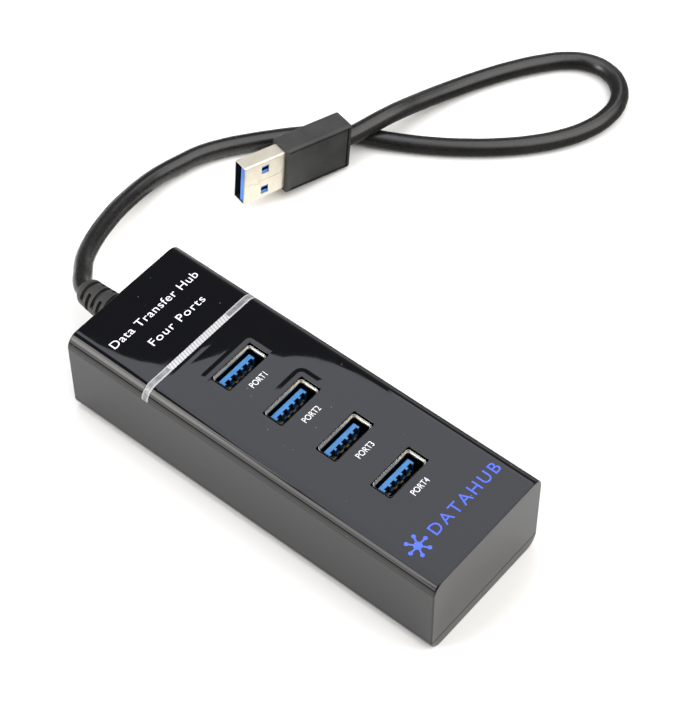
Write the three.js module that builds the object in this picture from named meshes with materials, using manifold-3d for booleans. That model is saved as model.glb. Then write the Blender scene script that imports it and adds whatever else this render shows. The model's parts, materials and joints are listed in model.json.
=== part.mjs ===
// A four-port desktop data hub with an attached cable and plug, in millimetres.
// +X runs along the body away from the cable, +Y across it, +Z up.
// The origin is the middle of the body's underside.
import * as THREE from "three";
import { mergeVertices } from "three/addons/utils/BufferGeometryUtils.js";
import Module from "manifold-3d";

const wasm = await Module();
wasm.setup();

// Driving dimensions.
const body = { length: 108.6, width: 39, height: 25.9, wall: 2, edgeRadius: 3.6 };
const cover = { height: 3.9, floor: 1.8, edgeRadius: 3.6, lipHeight: 1.6, lipThickness: 1.2 };
const snap = { width: 7, thickness: 1.2, height: 6.4, barb: 0.6, barbHeight: 1.4, fromEnd: 20.3 };
const port = { count: 4, pitch: 15.68, firstFromEnd: 36.4, gapX: 0.05, gapY: 0.35, cornerRadius: 0.5 };
const socket = { outerX: 5.7, outerY: 13, sheet: 0.3, cornerRadius: 0.6, rimDepth: 0.4 };
const tab = { width: 1.5, fromMiddle: 1.3, below: 0.8 };
const tongue = { thickness: 1.75, sideGap: 0.9, faceX: -0.05, frontDepth: 2.1, baseDepth: 12 };
const pocket = { count: 5, pitch: 2, width: 1.3, depth: 0.55, floorDepth: 4.5 };
const spring = {
  thickness: 0.2,
  width: 0.9,
  tipDepth: 5.4,
  tipLength: 0.6,
  bulge: 0.4,
  straight: 2,
  rowY: [-3.5, -1, 1, 3.5],
};
const board = { thickness: 1.6, aboveLip: 0.15, cableGap: 2.8, endGap: 0.8 };
const guide = {
  fromEnd: 24.33,
  width: 1.9,
  thickness: 1.2,
  legDepth: 2.9,
  stemWidth: 1.1,
  stemLength: 20.6,
  aboveLed: 1,
};
const led = { length: 1.6, width: 3.2, height: 1.1, y: 5.5 };
const chip = { length: 7, width: 7, height: 1 };
const crystal = { length: 4.8, width: 8, height: 3.4, fromEdge: 7.9 };
const regulator = { length: 6.5, width: 3.5, height: 1.7, fromEdge: 5.9 };
const capacitor = { radius: 2.5, height: 5.8, fromEdge: 5.4 };
const screw = {
  shank: 0.9,
  length: 5,
  point: 0.6,
  headRadius: 1.9,
  headHeight: 1.3,
  hole: 1.25,
  fromStart: 15.5,
  fromEnd: 4.5,
  fromEdge: 3.9,
};
const post = { radius: 2.6, bore: 0.95 };
const relief = {
  neckRadius: 3.3,
  flangeRadius: 5,
  flangeThickness: 1.5,
  baseRadius: 4.5,
  endRadius: 3.5,
  endRound: 1,
  length: 13.6,
  bend: THREE.MathUtils.degToRad(20),
};
const slot = { rows: 6, pitch: 1.75, firstFromEnd: 2.4, width: 0.95, depth: 1, topArc: 150, sideArc: 122 };
const cable = { diameter: 4.8, sides: 10, steps: 60, stubLength: 4.2, straight: 2.3 };
const wire = { radius: 0.38, pitch: 1, padPitch: 2.2, rise: 5 };
const wireRows = [
  { count: 5, height: 0.7, padFromStart: 13, straight: 5 },
  { count: 4, height: -0.7, padFromStart: 10.5, straight: 2.5 },
];
const plugShell = { width: 12, thickness: 4.5, sheet: 0.3, cornerRadius: 0.5, exposed: 12.3, buried: 6 };
const plugWindow = { size: 2.2, start: 5.2, offset: 3.35 };
const plugBlock = { thickness: 1.9, recess: 0.4 };
const plugPad = { length: 7, width: 1, thickness: 0.25, start: 1.2 };
const overmold = { length: 20.2, sideWall: 1.05, faceWall: 1.25, cornerRadius: 1.2 };
const plugPose = { tip: [-64.8, 53.1, 10.9], yaw: 74.9, pitch: -6.4, roll: -2.8 };

// Clearances.
const seat = 0.05;
const fit = 0.1;
const cut = 0.3;
const runOut = 1;

// The free cable's centre line, from the strain relief to the back of the plug.
const cableRoute = [
  [-73.9, 5.4, 12.5], [-77.1, 9.2, 11.3], [-79.7, 13.6, 10], [-82.1, 18.8, 8.7],
  [-84, 24.1, 7.4], [-85.6, 29.6, 6.2], [-86.7, 35.2, 5], [-87.4, 41.1, 4], [-87.4, 47.3, 3.1],
  [-86.3, 53.6, 2.6], [-84.5, 59.9, 2.45], [-81.6, 65.3, 2.45], [-77.9, 70.6, 2.45], [-73.7, 75.9, 2.45],
  [-68.8, 81.5, 2.45], [-63.3, 86.7, 2.45], [-57.3, 91, 2.45], [-49.3, 95, 2.45], [-40.9, 99.8, 2.45],
  [-32.6, 105.7, 2.45], [-25.2, 112.1, 2.45], [-19.6, 118.1, 2.45], [-15.2, 124.3, 2.45],
  [-12.1, 130.8, 2.45], [-10.7, 137.6, 2.45], [-11.4, 144, 2.45], [-14.8, 149.2, 2.45],
  [-20.3, 151.9, 2.45], [-26.1, 151.4, 2.45], [-31.3, 148.3, 2.45], [-36, 143, 2.45],
  [-40.4, 136.4, 2.45], [-44.6, 128.6, 2.5], [-48.2, 119.8, 3], [-50.9, 109.8, 4.6],
  [-52.9, 99.4, 6.5],
];

// Derived heights and places.
const endX = body.length / 2;
const boardBottom = cover.height + cover.lipHeight + board.aboveLip;
const boardTop = boardBottom + board.thickness;
const boardStart = -endX + body.wall + board.cableGap;
const boardEnd = endX - body.wall - board.endGap;
const snapFace = body.width / 2 - body.wall - fit;
const snapTop = cover.height + snap.height;
const snapX = endX - snap.fromEnd;
const snapPlaces = [-1, 1].flatMap((side) => [-snapX, snapX].map((x) => ({ side, x })));
const boardEdge = snapFace - snap.thickness - cut;
const screwPlaces = [boardStart + screw.fromStart, boardEnd - screw.fromEnd].map((x) => [
  x,
  boardEdge - screw.fromEdge,
]);
const screwTip = boardTop + seat - screw.length;
const socketTop = body.height - socket.rimDepth;
const socketInnerX = socket.outerX - 2 * socket.sheet;
const socketInnerY = socket.outerY - 2 * socket.sheet;
const tongueTop = body.height - tongue.frontDepth;
const socketFloor = body.height - tongue.baseDepth;
const springTip = body.height - spring.tipDepth;
const portX = Array.from({ length: port.count }, (_, i) => -endX + port.firstFromEnd + i * port.pitch);
const betweenPorts = portX.slice(1).map((x) => x - port.pitch / 2);
const guideX = -endX + guide.fromEnd;
const exitZ = (cover.height + body.height) / 2;
const gripX = -endX + body.wall + fit + relief.flangeThickness;
const plugBack = plugShell.exposed + overmold.length;

const finish = (color, roughness, metalness = 0, extra = {}) =>
  new THREE.MeshStandardMaterial({ color, roughness, metalness, ...extra });
const materials = {
  glossBlack: () => finish(0x141417, 0.08),
  clear: () => finish(0xd9dce0, 0.15, 0, { transparent: true, opacity: 0.6 }),
  boardGreen: () => finish(0x0f3d22, 0.5),
  chipBlack: () => finish(0x17181a, 0.6),
  steel: () => finish(0xd9d2c2, 0.3, 1),
  gold: () => finish(0xc9a13b, 0.25, 1),
  blue: () => finish(0x1f62c8, 0.4),
  rubber: () => finish(0x2b2b2a, 0.65),
  white: () => finish(0xe9e9e4, 0.5),
  wireRed: () => finish(0xa02520, 0.5),
  capacitor: () => finish(0x2a2f45, 0.4),
};

// A geometry as a solid that can be joined and cut.
function solid(geometry) {
  const bare = geometry.clone();
  bare.deleteAttribute("normal");
  bare.deleteAttribute("uv");
  const merged = mergeVertices(bare, 1e-4);
  const vertProperties = new Float32Array(merged.attributes.position.array);
  const triVerts = new Uint32Array(merged.index.array);
  return new wasm.Manifold(new wasm.Mesh({ numProp: 3, vertProperties, triVerts }));
}

function geometryOf(made) {
  const mesh = made.getMesh();
  const geometry = new THREE.BufferGeometry();
  geometry.setAttribute("position", new THREE.BufferAttribute(mesh.vertProperties, 3));
  geometry.setIndex(new THREE.BufferAttribute(mesh.triVerts, 1));
  geometry.computeVertexNormals();
  return geometry;
}

// The first geometry joined with some and then cut by others.
function carve(start, joins, cuts) {
  let made = solid(start);
  for (const piece of joins) made = made.add(solid(piece));
  for (const piece of cuts) made = made.subtract(solid(piece));
  return geometryOf(made);
}

const around = (middle, size) => [middle - size / 2, middle + size / 2];
const sorted = (a, b) => [Math.min(a, b), Math.max(a, b)];

function block([x0, x1], [y0, y1], [z0, z1]) {
  const geometry = new THREE.BoxGeometry(x1 - x0, y1 - y0, z1 - z0);
  return geometry.translate((x0 + x1) / 2, (y0 + y1) / 2, (z0 + z1) / 2);
}

// A cylinder standing on one height and reaching up to another.
function upright(radius, [z0, z1], sides) {
  const geometry = new THREE.CylinderGeometry(radius, radius, z1 - z0, sides);
  return geometry.rotateX(Math.PI / 2).translate(0, 0, (z0 + z1) / 2);
}

// A cylinder lying along the cable's axis where it leaves the body.
function lying(radius, [x0, x1], sides) {
  const geometry = new THREE.CylinderGeometry(radius, radius, x1 - x0, sides);
  return geometry.rotateZ(Math.PI / 2).translate((x0 + x1) / 2, 0, exitZ);
}

// A shape drawn in Y and Z, extruded along X between two places.
function alongX(shape, [x0, x1], curveSegments = 8) {
  const geometry = new THREE.ExtrudeGeometry(shape, { depth: x1 - x0, bevelEnabled: false, curveSegments });
  const turn = new THREE.Matrix4().makeBasis(
    new THREE.Vector3(0, 1, 0),
    new THREE.Vector3(0, 0, 1),
    new THREE.Vector3(1, 0, 0),
  );
  return geometry.applyMatrix4(turn).translate(x0, 0, 0);
}

// A shape drawn in X and Y, extruded up between two heights.
function alongZ(shape, [z0, z1], curveSegments = 4) {
  const options = { depth: z1 - z0, bevelEnabled: false, curveSegments };
  return new THREE.ExtrudeGeometry(shape, options).translate(0, 0, z0);
}

function roundedRectangle(width, height, radius) {
  const [x, y] = [width / 2, height / 2];
  const shape = new THREE.Shape();
  shape.moveTo(-x + radius, -y);
  shape.lineTo(x - radius, -y);
  shape.absarc(x - radius, -y + radius, radius, -Math.PI / 2, 0);
  shape.lineTo(x, y - radius);
  shape.absarc(x - radius, y - radius, radius, 0, Math.PI / 2);
  shape.lineTo(-x + radius, y);
  shape.absarc(-x + radius, y - radius, radius, Math.PI / 2, Math.PI);
  shape.lineTo(-x, -y + radius);
  shape.absarc(-x + radius, -y + radius, radius, Math.PI, 1.5 * Math.PI);
  return shape;
}

// The body's section from a lower height up to its rounded top, inset by a wall.
function topSection(bottom, inset) {
  const halfWidth = body.width / 2 - inset;
  const top = body.height - inset;
  const leastRadius = 0.4;
  const radius = Math.max(body.edgeRadius - inset, leastRadius);
  const shape = new THREE.Shape();
  shape.moveTo(-halfWidth, bottom);
  shape.lineTo(halfWidth, bottom);
  shape.lineTo(halfWidth, top - radius);
  shape.absarc(halfWidth - radius, top - radius, radius, 0, Math.PI / 2);
  shape.lineTo(-halfWidth + radius, top);
  shape.absarc(-halfWidth + radius, top - radius, radius, Math.PI / 2, Math.PI);
  return shape;
}

// The cover's section: a flat underside with rounded long edges, up to the seam.
function coverSection(top) {
  const halfWidth = body.width / 2;
  const radius = Math.min(cover.edgeRadius, cover.height - 2 * seat);
  const shape = new THREE.Shape();
  shape.moveTo(-halfWidth + radius, 0);
  shape.lineTo(halfWidth - radius, 0);
  shape.absarc(halfWidth - radius, radius, radius, -Math.PI / 2, 0);
  shape.lineTo(halfWidth, top);
  shape.lineTo(-halfWidth, top);
  shape.lineTo(-halfWidth, radius);
  shape.absarc(-halfWidth + radius, radius, radius, Math.PI, 1.5 * Math.PI);
  return shape;
}

function add(parent, name, geometry, material) {
  const mesh = new THREE.Mesh(geometry, material);
  mesh.name = name;
  parent.add(mesh);
}

// The strip of the body's outer skin that the light guide fills, down to its ends on the rounded edges.
const edgeSteps = 12;
function guideStrip(outerInset, innerInset, extraX, extraDepth) {
  const base = body.height - body.edgeRadius - runOut;
  const low = body.height - guide.legDepth - extraDepth;
  const wide = around(guideX, 2 * guide.width);
  const skin = alongX(topSection(base, outerInset), around(guideX, guide.width + 2 * extraX), edgeSteps);
  const inner = alongX(topSection(base - runOut, innerInset), wide, edgeSteps);
  const below = block(wide, around(0, body.width + 4 * runOut), [base - runOut, low]);
  return carve(skin, [], [inner, below]);
}

function topShell() {
  const outer = alongX(topSection(cover.height, 0), around(0, body.length), edgeSteps);
  const inside = topSection(cover.height - runOut, body.wall);
  const hollow = alongX(inside, around(0, body.length - 2 * body.wall), edgeSteps);
  const opening = roundedRectangle(
    socket.outerX + 2 * port.gapX,
    socket.outerY + 2 * port.gapY,
    port.cornerRadius,
  );
  const mouths = portX.map((x) =>
    alongZ(opening, [body.height - body.wall - runOut, body.height + runOut]).translate(x, 0, 0),
  );
  const stemSlot = block(
    around(guideX, guide.stemWidth + 2 * fit),
    around(0, guide.stemLength + 2 * fit),
    [body.height - body.wall - runOut, body.height - guide.thickness],
  );
  const cableHole = lying(relief.neckRadius + fit, [-endX - runOut, -endX + body.wall + runOut], 32);
  const catches = snapPlaces.map(({ side, x }) =>
    block(
      around(x, snap.width + 2 * cut),
      sorted(side * (snapFace - runOut), side * (snapFace + snap.barb + 2 * fit)),
      [snapTop - snap.barbHeight - fit, snapTop + fit],
    ),
  );
  const inlay = guideStrip(-runOut, guide.thickness + fit, fit, fit);
  return carve(outer, [], [hollow, ...mouths, stemSlot, cableHole, ...catches, inlay]);
}

// The lip stands inside the top shell's walls, around a shallow tray.
function coverLip() {
  const outerInset = body.wall + fit;
  const innerInset = outerInset + cover.lipThickness;
  const lipTop = cover.height + cover.lipHeight;
  const outer = block(
    around(0, body.length - 2 * outerInset),
    around(0, body.width - 2 * outerInset),
    [cover.floor + seat, lipTop],
  );
  const tray = block(
    around(0, body.length - 2 * innerInset),
    around(0, body.width - 2 * innerInset),
    [cover.floor, lipTop + runOut],
  );
  return { outer, tray };
}

function snapHook({ side, x }) {
  const inner = side * (snapFace - snap.thickness);
  const wide = around(x, snap.width);
  return [
    block(wide, sorted(side * snapFace, inner), [cover.floor - seat, snapTop]),
    block(wide, sorted(side * (snapFace + snap.barb), inner), [snapTop - snap.barbHeight, snapTop]),
  ];
}

function bottomCover() {
  const outer = alongX(coverSection(cover.height - seat), around(0, body.length));
  const lip = coverLip();
  const tray = carve(outer, [lip.outer], [lip.tray]);
  const posts = screwPlaces.map(([x, y]) =>
    upright(post.radius, [cover.floor - seat, boardBottom - seat], 24).translate(x, y, 0),
  );
  const bores = screwPlaces.map(([x, y]) =>
    upright(post.bore, [screwTip - cut, boardBottom + runOut], 16).translate(x, y, 0),
  );
  return carve(tray, [...snapPlaces.flatMap(snapHook), ...posts], bores);
}

function lightGuide() {
  const stem = block(
    around(guideX, guide.stemWidth),
    around(0, guide.stemLength),
    [boardTop + led.height + guide.aboveLed, body.height - guide.thickness / 2],
  );
  return carve(guideStrip(0, guide.thickness, 0, 0), [stem], []);
}

// The four solder tabs that go down from a socket's long ends through the board.
function socketTabs(x, clearance, low) {
  return [-1, 1].flatMap((side) =>
    [-1, 1].map((end) =>
      block(
        around(x + end * tab.fromMiddle, tab.width + 2 * clearance),
        around((side * (socket.outerY - socket.sheet)) / 2, socket.sheet + 2 * clearance),
        [low, boardTop + socket.sheet],
      ),
    ),
  );
}

function circuitBoard() {
  const plate = block([boardStart, boardEnd], around(0, 2 * boardEdge), [boardBottom, boardTop]);
  const holes = screwPlaces.map(([x, y]) =>
    upright(screw.hole, [boardBottom - runOut, boardTop + runOut], 20).translate(x, y, 0),
  );
  const slots = portX.flatMap((x) => socketTabs(x, cut, boardBottom - runOut));
  return carve(plate, [], [...holes, ...slots]);
}

function socketShell(x) {
  const walls = roundedRectangle(socket.outerX, socket.outerY, socket.cornerRadius);
  walls.holes.push(roundedRectangle(socketInnerX, socketInnerY, socket.cornerRadius - socket.sheet));
  const sleeve = alongZ(walls, [boardTop + seat, socketTop]).translate(x, 0, 0);
  return carve(sleeve, socketTabs(x, 0, boardBottom - tab.below), []);
}

function socketInsulator(x) {
  const base = block(
    around(x, socketInnerX - 2 * fit),
    around(0, socketInnerY - 2 * fit),
    [boardTop + seat, socketFloor],
  );
  const face = x + tongue.faceX;
  const blade = block(
    [face - tongue.thickness, face],
    around(0, socketInnerY - 2 * tongue.sideGap),
    [socketFloor - seat, tongueTop],
  );
  const pockets = Array.from({ length: pocket.count }, (_, i) =>
    block(
      [face - pocket.depth, face + runOut],
      around((i - (pocket.count - 1) / 2) * pocket.pitch, pocket.width),
      [body.height - pocket.floorDepth, tongueTop + runOut],
    ),
  );
  const channels = spring.rowY.map((y) =>
    block(
      around(face, 2 * (spring.thickness + cut)),
      around(y, spring.width + 2 * cut),
      [boardTop - runOut, springTip + spring.tipLength + 2 * fit],
    ),
  );
  return carve(base, [blade], [...pockets, ...channels]);
}

// A contact rises through the base against the tongue's face and bulges into the gap near its tip.
function springContact(x, y) {
  const face = x + tongue.faceX;
  const half = spring.thickness / 2;
  const path = [
    [face - half, boardTop + seat],
    [face - half, socketFloor + spring.straight],
    [face + spring.bulge, springTip],
    [face, springTip + spring.tipLength],
  ];
  const left = path.map(([px, pz]) => new THREE.Vector2(px - half, pz));
  const right = path.map(([px, pz]) => new THREE.Vector2(px + half, pz));
  const outline = new THREE.Shape([...left, ...right.reverse()]);
  const strip = new THREE.ExtrudeGeometry(outline, { depth: spring.width, bevelEnabled: false });
  return strip.rotateX(Math.PI / 2).translate(0, y + spring.width / 2, 0);
}

function boardScrew([x, y]) {
  const head = boardTop + seat;
  const headTop = head + screw.headHeight;
  const profile = [
    [0, screwTip],
    [screw.shank, screwTip + screw.point],
    [screw.shank, head],
    [screw.headRadius, head],
    [screw.headRadius, head + screw.headHeight * 0.4],
    [screw.headRadius * 0.6, headTop],
    [0, headTop],
  ];
  const points = profile.map(([radius, height]) => new THREE.Vector2(radius, height));
  return new THREE.LatheGeometry(points, 20).rotateX(Math.PI / 2).translate(x, y, 0);
}

function addSocket(parent, x, number) {
  const group = new THREE.Group();
  add(group, `port${number}_shell`, socketShell(x), materials.steel());
  add(group, `port${number}_insulator`, socketInsulator(x), materials.blue());
  spring.rowY.forEach((y, i) =>
    add(group, `port${number}_contact${i + 1}`, springContact(x, y), materials.gold()),
  );
  parent.add(group);
}

function onBoard(part, x, y) {
  const bottom = boardTop + seat;
  return block(around(x, part.length), around(y, part.width), [bottom, bottom + part.height]);
}

function capacitorCan(x) {
  const bottom = boardTop + seat;
  const can = upright(capacitor.radius, [bottom, bottom + capacitor.height], 24);
  return can.translate(x, boardEdge - capacitor.fromEdge, 0);
}

// The strain relief leans towards the side to which the cable leaves and a little down, more so near its end.
const reliefLean = new THREE.Vector3(0, 0.775, -0.632);
function bentRelief(point) {
  const along = -endX - point.x;
  if (along <= 0) return point;
  const share = along / relief.length;
  const turn = relief.bend * share ** 3;
  const side = new THREE.Vector3(0, point.y, point.z - exitZ);
  const lean = side.dot(reliefLean);
  const shift = (relief.bend * relief.length * share ** 4) / 4;
  side.addScaledVector(reliefLean, shift + lean * (Math.cos(turn) - 1));
  return side.add(new THREE.Vector3(point.x + lean * Math.sin(turn), 0, exitZ));
}

// A sector of a ring, for a slot; its angles are in degrees.
function arcSector(innerRadius, outerRadius, middle, arc) {
  const start = THREE.MathUtils.degToRad(middle - arc / 2);
  const end = THREE.MathUtils.degToRad(middle + arc / 2);
  const shape = new THREE.Shape();
  shape.absarc(0, 0, outerRadius, start, end, false);
  shape.absarc(0, 0, innerRadius, end, start, true);
  return shape;
}

// The strain relief's outline, as radius and distance beyond the body's end face.
function reliefOutline() {
  const { baseRadius, endRadius, endRound, length } = relief;
  const inside = -body.wall - fit;
  const outline = [
    [0, inside - relief.flangeThickness],
    [relief.flangeRadius, inside - relief.flangeThickness],
    [relief.flangeRadius, inside],
    [relief.neckRadius, inside],
    [relief.neckRadius, seat],
    [baseRadius, seat],
  ];
  const taperSteps = 8;
  for (let i = 1; i <= taperSteps; i++) {
    const share = i / taperSteps;
    outline.push([baseRadius + (endRadius - baseRadius) * share, (length - endRound) * share]);
  }
  const roundSteps = 4;
  for (let i = 1; i <= roundSteps; i++) {
    const angle = (i / roundSteps) * (Math.PI / 2);
    outline.push([
      endRadius - endRound + endRound * Math.cos(angle),
      length - endRound + endRound * Math.sin(angle),
    ]);
  }
  outline.push([0, length]);
  return outline.map(([radius, along]) => new THREE.Vector2(radius, along));
}

// Slots go round the relief in pairs, above and below on one row and on both sides on the next.
function reliefSlots() {
  const slots = [];
  for (let row = 0; row < slot.rows; row++) {
    const along = relief.length - slot.firstFromEnd - row * slot.pitch;
    const radius = relief.baseRadius + (relief.endRadius - relief.baseRadius) * (along / relief.length);
    const [first, arc] = row % 2 ? [0, slot.sideArc] : [90, slot.topArc];
    for (const middle of [first, first + 180]) {
      const sector = arcSector(radius - slot.depth, radius + runOut, middle, arc);
      slots.push(alongX(sector, around(-endX - along, slot.width)).translate(0, 0, exitZ));
    }
  }
  return slots;
}

function strainRelief() {
  const turned = new THREE.LatheGeometry(reliefOutline(), 28);
  const straight = turned.rotateZ(Math.PI / 2).translate(-endX, 0, exitZ);
  const geometry = carve(straight, [], reliefSlots());
  const position = geometry.attributes.position;
  for (let i = 0; i < position.count; i++) {
    const moved = bentRelief(new THREE.Vector3().fromBufferAttribute(position, i));
    position.setXYZ(i, moved.x, moved.y, moved.z);
  }
  return geometry;
}

// A round tube along a curve, with its ends closed.
function tube(curve, radius, sides, steps) {
  const corners = Array.from({ length: sides }, (_, i) => {
    const angle = (i / sides) * 2 * Math.PI;
    return new THREE.Vector2(radius * Math.cos(angle), radius * Math.sin(angle));
  });
  const section = new THREE.Shape(corners);
  return new THREE.ExtrudeGeometry(section, { steps, extrudePath: curve, bevelEnabled: false });
}

// The plug's own group: its X runs from the open mouth towards the cable, its Z along the broad face.
function plugGroup() {
  const group = new THREE.Group();
  const { yaw, pitch, roll, tip } = plugPose;
  const [turnX, turnY, turnZ] = [roll, -pitch, yaw].map(THREE.MathUtils.degToRad);
  group.position.set(...tip);
  group.rotation.set(turnX, turnY, turnZ, "ZYX");
  group.updateMatrixWorld(true);
  return group;
}

function plugSleeve() {
  const { thickness, width, sheet, cornerRadius, exposed, buried } = plugShell;
  const walls = roundedRectangle(thickness, width, cornerRadius);
  walls.holes.push(roundedRectangle(thickness - 2 * sheet, width - 2 * sheet, cornerRadius - sheet));
  const sleeve = alongX(walls, [0, exposed + buried], 4);
  const windows = [-1, 1].map((side) =>
    block(
      [plugWindow.start, plugWindow.start + plugWindow.size],
      around(0, thickness + 2 * runOut),
      around(side * plugWindow.offset, plugWindow.size),
    ),
  );
  return carve(sleeve, [], windows);
}

const blockFace = -plugShell.thickness / 2 + plugShell.sheet + seat;
const padFace = blockFace + plugBlock.thickness;

function plugInsulator() {
  const bar = block(
    [plugBlock.recess, plugShell.exposed + plugShell.buried],
    [blockFace, padFace],
    around(0, plugShell.width - 2 * (plugShell.sheet + fit)),
  );
  const grooves = spring.rowY.map((z) =>
    block(
      [plugPad.start - cut, plugPad.start + plugPad.length + cut],
      [padFace - plugPad.thickness, padFace + runOut],
      around(z, plugPad.width + 2 * cut),
    ),
  );
  return carve(bar, [], grooves);
}

function plugContact(z) {
  return block(
    [plugPad.start, plugPad.start + plugPad.length],
    [padFace - plugPad.thickness + seat, padFace + seat],
    around(z, plugPad.width),
  );
}

function plugOvermold() {
  const width = plugShell.width + 2 * overmold.sideWall;
  const thickness = plugShell.thickness + 2 * overmold.faceWall;
  const section = roundedRectangle(thickness, width, overmold.cornerRadius);
  const outer = alongX(section, [plugShell.exposed, plugBack], 6);
  const recess = block(
    [plugShell.exposed - runOut, plugShell.exposed + plugShell.buried + cut],
    around(0, plugShell.thickness + 2 * fit),
    around(0, plugShell.width + 2 * fit),
  );
  return carve(outer, [], [recess]);
}

// The cable starts straight out of the strain relief and ends straight into the plug.
function cableCurve(plug) {
  const onRelief = (beyond) => bentRelief(new THREE.Vector3(-endX - relief.length - beyond, 0, exitZ));
  const behindPlug = (beyond) => plug.localToWorld(new THREE.Vector3(plugBack + beyond, 0, 0));
  const points = [
    onRelief(cut),
    onRelief(cable.straight),
    ...cableRoute.map((place) => new THREE.Vector3(...place)),
    behindPlug(cable.straight),
    behindPlug(cut),
  ];
  return new THREE.CatmullRomCurve3(points, false, "centripetal");
}

function wireCurve(row, place) {
  const startX = gripX + cable.stubLength + 3 * cut;
  const start = new THREE.Vector3(startX, place * wire.pitch, exitZ + row.height);
  const end = new THREE.Vector3(boardStart + row.padFromStart, place * wire.padPitch, boardTop + cut);
  return new THREE.CubicBezierCurve3(
    start,
    start.clone().add(new THREE.Vector3(row.straight, 0, 0)),
    end.clone().add(new THREE.Vector3(0, 0, wire.rise)),
    end,
  );
}

function addWires(parent) {
  const curves = wireRows.flatMap((row) =>
    Array.from({ length: row.count }, (_, i) => wireCurve(row, i - (row.count - 1) / 2)),
  );
  curves.forEach((curve, i) =>
    add(parent, `wire${i + 1}`, tube(curve, wire.radius, 6, 10), materials.wireRed()),
  );
}

function cableStub() {
  const start = gripX + cut;
  return lying(cable.diameter / 2, [start, start + cable.stubLength], 20);
}

const hub = new THREE.Group();
const housing = new THREE.Group();
add(housing, "top_shell", topShell(), materials.glossBlack());
add(housing, "bottom_cover", bottomCover(), materials.glossBlack());
add(housing, "light_guide", lightGuide(), materials.clear());
hub.add(housing);

const electronics = new THREE.Group();
const [socketGap1, socketGap2, socketGap3] = betweenPorts;
add(electronics, "circuit_board", circuitBoard(), materials.boardGreen());
add(electronics, "hub_chip", onBoard(chip, socketGap3, 0), materials.chipBlack());
add(electronics, "crystal", onBoard(crystal, socketGap2, crystal.fromEdge - boardEdge), materials.steel());
add(
  electronics,
  "voltage_regulator",
  onBoard(regulator, socketGap1, regulator.fromEdge - boardEdge),
  materials.chipBlack(),
);
[-1, 1].forEach((side, i) =>
  add(electronics, `led${i + 1}`, onBoard(led, guideX, side * led.y), materials.white()),
);
betweenPorts.forEach((x, i) =>
  add(electronics, `capacitor${i + 1}`, capacitorCan(x), materials.capacitor()),
);
screwPlaces.forEach((place, i) =>
  add(electronics, `board_screw${i + 1}`, boardScrew(place), materials.steel()),
);
portX.forEach((x, i) => addSocket(electronics, x, i + 1));
hub.add(electronics);

const lead = new THREE.Group();
add(lead, "strain_relief", strainRelief(), materials.rubber());
add(lead, "cable_stub", cableStub(), materials.rubber());
addWires(lead);
const plug = plugGroup();
add(plug, "plug_shell", plugSleeve(), materials.steel());
add(plug, "plug_insulator", plugInsulator(), materials.blue());
spring.rowY.forEach((z, i) => add(plug, `plug_contact${i + 1}`, plugContact(z), materials.gold()));
add(plug, "plug_overmold", plugOvermold(), materials.rubber());
lead.add(plug);
add(lead, "cable", tube(cableCurve(plug), cable.diameter / 2, cable.sides, cable.steps), materials.rubber());
hub.add(lead);

export default hub;
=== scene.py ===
import json
import math
import random

import bmesh
import bpy
from mathutils import Euler, Matrix, Vector


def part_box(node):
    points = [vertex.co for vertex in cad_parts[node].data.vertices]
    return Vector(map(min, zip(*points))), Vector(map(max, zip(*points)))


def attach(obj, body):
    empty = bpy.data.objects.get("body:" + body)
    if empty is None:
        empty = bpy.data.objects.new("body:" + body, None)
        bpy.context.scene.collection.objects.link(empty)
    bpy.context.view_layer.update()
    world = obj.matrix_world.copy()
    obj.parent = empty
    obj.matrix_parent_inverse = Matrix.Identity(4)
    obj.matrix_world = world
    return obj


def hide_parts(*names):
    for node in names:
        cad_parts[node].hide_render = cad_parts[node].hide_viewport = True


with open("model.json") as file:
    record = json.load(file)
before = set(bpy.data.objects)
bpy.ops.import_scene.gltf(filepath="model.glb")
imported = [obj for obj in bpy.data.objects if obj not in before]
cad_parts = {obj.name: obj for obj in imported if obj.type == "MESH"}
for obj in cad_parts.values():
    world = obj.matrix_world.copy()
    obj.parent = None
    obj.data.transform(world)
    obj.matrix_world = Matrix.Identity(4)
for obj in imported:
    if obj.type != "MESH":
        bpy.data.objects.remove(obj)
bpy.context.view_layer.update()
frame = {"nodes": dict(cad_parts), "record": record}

MM = 0.001
random.seed(7)


# ---------------------------------------------------------------- sizes from the frame
def box_mm(node):
    low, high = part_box(node)
    return low / MM, high / MM


TOP_LOW, TOP_HIGH = box_mm("top_shell")
COVER_LOW = box_mm("bottom_cover")[0]
GUIDE_LOW, GUIDE_HIGH = box_mm("light_guide")
END_X = TOP_HIGH.x
HALF_WIDTH = TOP_HIGH.y
BODY_TOP = TOP_HIGH.z
SEAM = TOP_LOW.z
GUIDE_X = (GUIDE_LOW.x + GUIDE_HIGH.x) / 2
EXIT_Z = (SEAM + BODY_TOP) / 2
PORTS = range(1, 5)
PORT_BOXES = {number: box_mm(f"port{number}_shell") for number in PORTS}
PORT_X = {number: (low.x + high.x) / 2 for number, (low, high) in PORT_BOXES.items()}

# The housing.
WALL = 2
LONG_EDGE_RADIUS = 3.6
END_EDGE_RADIUS = 0.4
SEAM_ROUND = 0.12
COVER_FLOOR = 1.8
MOUTH = dict(half_x=2.9, half_y=6.85, radius=0.5, flare=0.22)
GUIDE_WIDTH = GUIDE_HIGH.x - GUIDE_LOW.x
GUIDE_THICKNESS = 1.2

# The plug's pose, as in the CAD source.
PLUG_TIP = Vector((-64.8, 53.1, 10.9))
PLUG_YAW, PLUG_PITCH, PLUG_ROLL = 74.9, -6.4, -2.8
PLUG_EXPOSED, PLUG_BURIED = 12.3, 6
PLUG_WIDTH, PLUG_THICKNESS, PLUG_SHEET = 12, 4.5, 0.3
OVERMOLD_LENGTH, OVERMOLD_WIDTH, OVERMOLD_THICKNESS = 20.2, 14.1, 7.0

# How far the printing stands above the top face.
PRINT_HEIGHT = 0.008

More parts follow.
